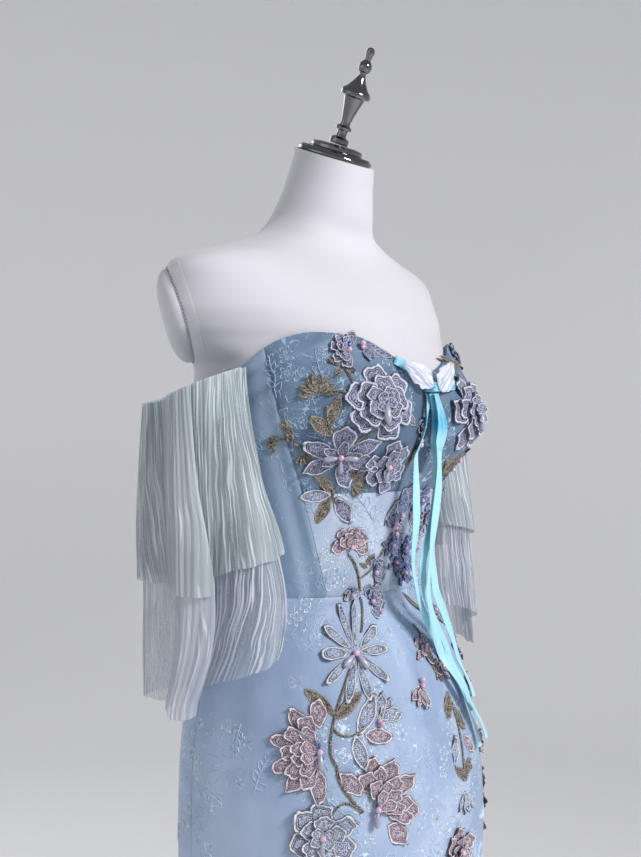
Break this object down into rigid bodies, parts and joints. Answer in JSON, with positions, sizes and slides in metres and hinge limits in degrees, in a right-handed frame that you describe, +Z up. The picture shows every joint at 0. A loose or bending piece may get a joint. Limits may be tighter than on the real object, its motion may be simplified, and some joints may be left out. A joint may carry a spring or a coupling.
{
  "type": "mermaid gown on a dress form",
  "caption": "Strapless floor-length mermaid gown with raised floral lace, off-the-shoulder pleated sleeves and a ribbon bow, on a limbless dress form with pole and round base.",
  "frame": {"origin": "on the floor, at the middle of the stand's round base", "axes": "+Z up, longest extent; -Y is the gown's front, +X the wearer's left"},
  "size_m": [0.7023, 0.6923, 1.5407],
  "materials": {
    "bodice_lace": "corded lace over satin",
    "skirt_lace": "corded lace over satin",
    "tulle": "pleated tulle",
    "sleeve_band": "gathered satin",
    "form_cloth": "smooth jersey",
    "ribbon_satin": "satin",
    "organza": "organza",
    "chrome": "polished",
    "stand_metal": "satin silver"
  },
  "bodies": {
    "root": {"back_left": "bodice_lace", "back_right": "bodice_lace", "cup_left": "bodice_lace", "cup_right": "bodice_lace", "finial": "chrome", "form_cap_left": "form_cloth", "form_cap_right": "form_cloth", "form_torso": "form_cloth", "midriff_front": "bodice_lace", "neck_plate": "chrome", "organza_left": "organza", "organza_right": "organza", "ribbon_knot": "ribbon_satin", "ribbon_loop_left": "ribbon_satin", "ribbon_loop_right": "ribbon_satin", "ribbon_tail_a": "ribbon_satin", "ribbon_tail_b": "ribbon_satin", "ribbon_tail_c": "ribbon_satin", "ribbon_tail_d": "ribbon_satin", "side_left": "bodice_lace", "side_right": "bodice_lace", "skirt_back_left": "skirt_lace", "skirt_back_right": "skirt_lace", "skirt_front": "skirt_lace", "sleeve_left_band": "sleeve_band", "sleeve_left_lower": "tulle", "sleeve_left_upper": "tulle", "sleeve_right_band": "sleeve_band", "sleeve_right_lower": "tulle", "sleeve_right_upper": "tulle", "stand_base": "stand_metal", "stand_pole": "stand_metal"}
  },
  "joints": []
}
